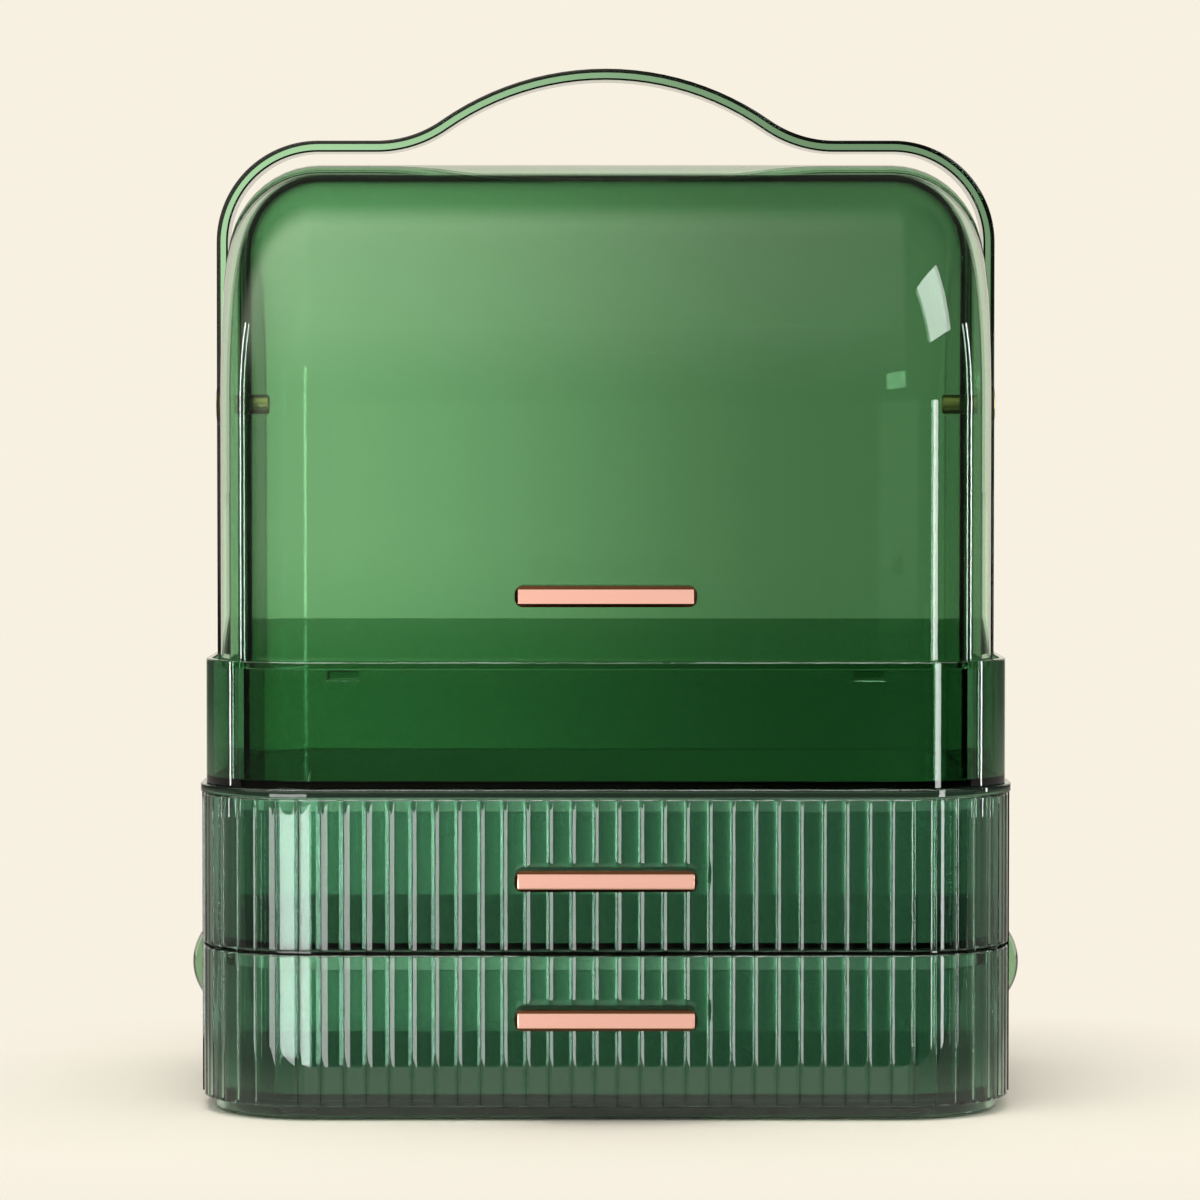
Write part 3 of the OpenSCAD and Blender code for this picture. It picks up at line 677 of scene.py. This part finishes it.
def add_floor(cream):
    """A plain pale floor under the organizer."""
    mesh = bpy.data.meshes.new("studio_floor")
    mesh.from_pydata([(x * FLOOR_HALF, y * FLOOR_HALF, 0)
                      for x, y in ((-1, -1), (1, -1), (1, 1), (-1, 1))], [], [(0, 1, 2, 3)])
    floor = bpy.data.objects.new("studio_floor", mesh)
    bpy.context.scene.collection.objects.link(floor)
    floor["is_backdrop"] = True
    mesh.materials.append(painted_board(cream))


def studio_world(cream, settings):
    """Even light from all round, the cream backdrop, and the room that mirrors in the plastic."""
    world = bpy.data.worlds.new("studio_world")
    world.use_nodes = True
    tree = world.node_tree
    tree.nodes.clear()
    ray = add_node(tree, "ShaderNodeLightPath")
    way = add_node(tree, "ShaderNodeTexCoord")
    axes = add_node(tree, "ShaderNodeSeparateXYZ", Vector=way.outputs["Generated"])

    # In front a dim room that is brighter on the left and overhead, and behind the backdrop.
    # Name, axis, the direction where it starts and ends, the brightness there
    part = {}
    for name, axis, start, end, first, last in (
            ("left", "X", 0.07, -0.1, settings.room, settings.room * 17),
            ("far_left", "X", -1.0, -0.93, 0.0, 1.0),
            ("eye_level", "Z", -0.05, -0.02, 0.12, 1.0),
            ("overhead", "Z", 0.02, 0.9, 0.0, 1.0),
            ("overhead_left", "X", 0.2, -0.15, 0.1, 1.3),
            ("behind", "Y", 0.05, 0.4, 0.0, 1.0)):
        part[name] = add_node(tree, "ShaderNodeMapRange", {
            "From Min": start, "From Max": end, "To Min": first, "To Max": last,
            "interpolation_type": "SMOOTHSTEP"}, Value=axes.outputs[axis]).outputs["Result"]
    left_eye = add_node(tree, "ShaderNodeMath", {"operation": "MULTIPLY"}, _0=part["left"],
                        _1=part["eye_level"])
    front = add_node(tree, "ShaderNodeMix", {"data_type": "FLOAT", 2: settings.room},
                     _0=part["far_left"], _3=left_eye.outputs["Value"])
    skylight = add_node(tree, "ShaderNodeMath", {"operation": "MULTIPLY"}, _0=part["overhead"],
                        _1=part["overhead_left"])
    lit = add_node(tree, "ShaderNodeMath", {"operation": "ADD"}, _0=front.outputs[0],
                   _1=skylight.outputs["Value"])
    # The backdrop is a wide sheet that ends at the sides and overhead
    across = add_node(tree, "ShaderNodeVectorMath", {
        "operation": "MULTIPLY", 1: (1 / SHEET_HALF[0], 0, 1 / SHEET_HALF[1])},
        _0=way.outputs["Generated"])
    reach = add_node(tree, "ShaderNodeVectorMath", {"operation": "LENGTH"},
                     _0=across.outputs["Vector"])
    sheet = add_node(tree, "ShaderNodeMapRange", {
        "From Min": 1.07, "From Max": 0.98, "To Min": 0.05, "To Max": 1.0,
        "interpolation_type": "SMOOTHSTEP"}, Value=reach.outputs["Value"])
    room = add_node(tree, "ShaderNodeMix", {"data_type": "FLOAT"}, _0=part["behind"],
                    _2=lit.outputs["Value"], _3=sheet.outputs["Result"])
    # Light that turns over and over inside a wall comes out dim, which draws the dark rims
    trapped = add_node(tree, "ShaderNodeMapRange", {
        "From Min": 1.0, "From Max": 3.0, "To Min": 1.0, "To Max": 0.12},
        Value=ray.outputs["Glossy Depth"])
    held = add_node(tree, "ShaderNodeMath", {"operation": "MULTIPLY"}, _0=room.outputs[0],
                    _1=trapped.outputs["Result"])
    level, _ = level_by_ray(tree, ray, axes.outputs["X"], 1, held.outputs["Value"])

    # The eye, the clear plastic and the gloss see the backdrop; all else gets the even light
    backdrop = add_node(tree, "ShaderNodeBackground", {"Color": (*cream, 1.0)}, Strength=level)
    fill = add_node(tree, "ShaderNodeBackground", {
        "Color": FILL_COLOUR, "Strength": settings.fill})
    seen = add_node(tree, "ShaderNodeMath", {"operation": "MAXIMUM"},
                    _0=ray.outputs["Is Camera Ray"], _1=ray.outputs["Is Transmission Ray"])
    shown = add_node(tree, "ShaderNodeMath", {"operation": "MAXIMUM"},
                     _0=seen.outputs["Value"], _1=ray.outputs["Is Glossy Ray"])
    both = add_node(tree, "ShaderNodeMixShader", Fac=shown.outputs["Value"],
                    _1=fill.outputs["Background"], _2=backdrop.outputs["Background"])
    add_node(tree, "ShaderNodeOutputWorld", Surface=both.outputs["Shader"])
    return world


def add_lamp(name, place, target, size_x, size_y, level):
    """A rectangular softbox; its level is how bright its face looks, where white paper is 1."""
    data = bpy.data.lights.new(name, "AREA")
    data.shape = "RECTANGLE"
    data.size, data.size_y = size_x, size_y
    data.energy = level * math.pi * size_x * size_y
    lamp = bpy.data.objects.new(name, data)
    bpy.context.scene.collection.objects.link(lamp)
    lamp.location = place
    lamp.rotation_euler = (Vector(target) - Vector(place)).to_track_quat("-Z", "Y").to_euler()
    lamp.visible_camera = False
    return lamp


def light_only(lamp, label, names):
    """Keeps a lamp's light to the named pieces."""
    lit = bpy.data.collections.new(label)
    for name in names:
        lit.objects.link(bpy.data.objects.get(name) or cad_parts[name])
    lamp.light_linking.receiver_collection = lit


def add_lamps(settings):
    """The large softbox above the front, and the lamps whose shapes mirror in the plastic."""
    strip, middle = settings.strip, (0, 0, 0.18)
    # Name, place, what it faces, width, height, brightness: tall lamps on the left draw the
    # white bars of the drawers' corners, and thin ones at the sides the hood's fine lines
    lamps = {row[0]: add_lamp(*row) for row in (
        ("softbox_above", (-0.3, -0.7, 1.7), middle, 1.0, 0.7, settings.softbox),
        ("softbox_left", (-0.78, -1.5, -0.155), (-0.1, -0.1, -0.155), 1.08, 0.27, strip * 0.65),
        ("softbox_right", (1.15, -1.15, 0.0), (0.1, -0.1, 0.0), 0.16, 0.6, strip),
        ("strip_left", (-1.4, 0.15, 0.3), (0, 0, 0.3), 0.05, 0.9, strip * 1.5),
        ("strip_right", (1.4, 0.15, 0.3), (0, 0, 0.3), 0.05, 0.9, strip * 1.5),
        ("window_right", (0.95, -0.6, 1.15), (0.1, 0, 0.25), 0.7, 0.7, strip * 0.6),
        ("metal_card", (0, -1.25, 0.02), (0, 0, 0.1), 0.7, 0.52, settings.card),
        ("softbox_rims", (-0.1, -0.35, 1.3), middle, 1.4, 0.9, strip * 1.1))}
    lamps["softbox_above"].visible_glossy = False
    lamps["softbox_above"].visible_transmission = False
    lamps["window_right"].visible_diffuse = False
    lamps["softbox_rims"].visible_diffuse = False
    light_only(lamps["strip_left"], "forward_pieces",
               ("lid_shell", "upper_reeds", "lower_reeds", "display_tray", "base_shell"))
    # A white card before the front, for the metal alone
    light_only(lamps["metal_card"], "metal", PULL_NODES + PIN_NODES)
    # A lamp overhead that only the rims and lips catch
    light_only(lamps["softbox_rims"], "rims",
               ("display_tray", "top_deck", "base_floor", "upper_reeds", "lower_reeds"))


def add_camera(settings):
    """The camera, level with the hood and looking slightly down."""
    data = bpy.data.cameras.new("studio_camera")
    data.lens = settings.lens
    data.sensor_width = SENSOR_WIDTH
    data.clip_start, data.clip_end = 0.1, 100.0
    camera = bpy.data.objects.new("studio_camera", data)
    bpy.context.scene.collection.objects.link(camera)
    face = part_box("upper_drawer_front")[0].y
    camera.location = (settings.camera_side, face - settings.camera_distance,
                       settings.camera_height)
    camera.rotation_euler = (math.pi / 2 - settings.tilt, 0, 0)
    return camera


class OBJECT_OT_organizer_studio(bpy.types.Operator):
    """Makes the pale floor, the soft light and the camera"""

    bl_idname = "object.organizer_studio"
    bl_label = "Studio"

    def execute(self, context):
        scene = context.scene
        cream = tuple(scene.organizer_colours.studio)
        add_floor(cream)
        scene.world = studio_world(cream, scene.organizer_studio)
        add_lamps(scene.organizer_studio)
        scene.camera = add_camera(scene.organizer_studio)
        scene.view_settings.view_transform = "Standard"
        return {"FINISHED"}


OPERATORS = (OBJECT_OT_organizer_finishes, OBJECT_OT_organizer_edges,
             OBJECT_OT_organizer_drawer_fronts, OBJECT_OT_organizer_hood,
             OBJECT_OT_organizer_studio)


class VIEW3D_PT_organizer(bpy.types.Panel):
    """Lists the organizer's pieces and settings"""

    bl_label = "Makeup Organizer"
    bl_idname = "VIEW3D_PT_organizer"
    bl_space_type = "VIEW_3D"
    bl_region_type = "UI"
    bl_category = "Organizer"

    def draw(self, context):
        for operator in OPERATORS:
            self.layout.operator(operator.bl_idname)
        scene = context.scene
        for settings in (scene.organizer_colours, scene.organizer_sizes, scene.organizer_studio):
            box = self.layout.box()
            for name in settings.bl_rna.properties.keys():
                if name not in ("rna_type", "name"):
                    box.prop(settings, name)


GROUPS = (OrganizerColours, OrganizerSizes, StudioSettings)


def register():
    for cls in (*GROUPS, *OPERATORS, VIEW3D_PT_organizer):
        bpy.utils.register_class(cls)
    bpy.types.Scene.organizer_colours = bpy.props.PointerProperty(type=OrganizerColours)
    bpy.types.Scene.organizer_sizes = bpy.props.PointerProperty(type=OrganizerSizes)
    bpy.types.Scene.organizer_studio = bpy.props.PointerProperty(type=StudioSettings)


def unregister():
    del bpy.types.Scene.organizer_studio
    del bpy.types.Scene.organizer_sizes
    del bpy.types.Scene.organizer_colours
    for cls in reversed((*GROUPS, *OPERATORS, VIEW3D_PT_organizer)):
        bpy.utils.unregister_class(cls)


def main():
    register()
    bpy.ops.object.organizer_finishes()
    bpy.ops.object.organizer_edges()
    bpy.ops.object.organizer_drawer_fronts()
    bpy.ops.object.organizer_hood()
    bpy.ops.object.organizer_studio()


if __name__ == "__main__":
    main()
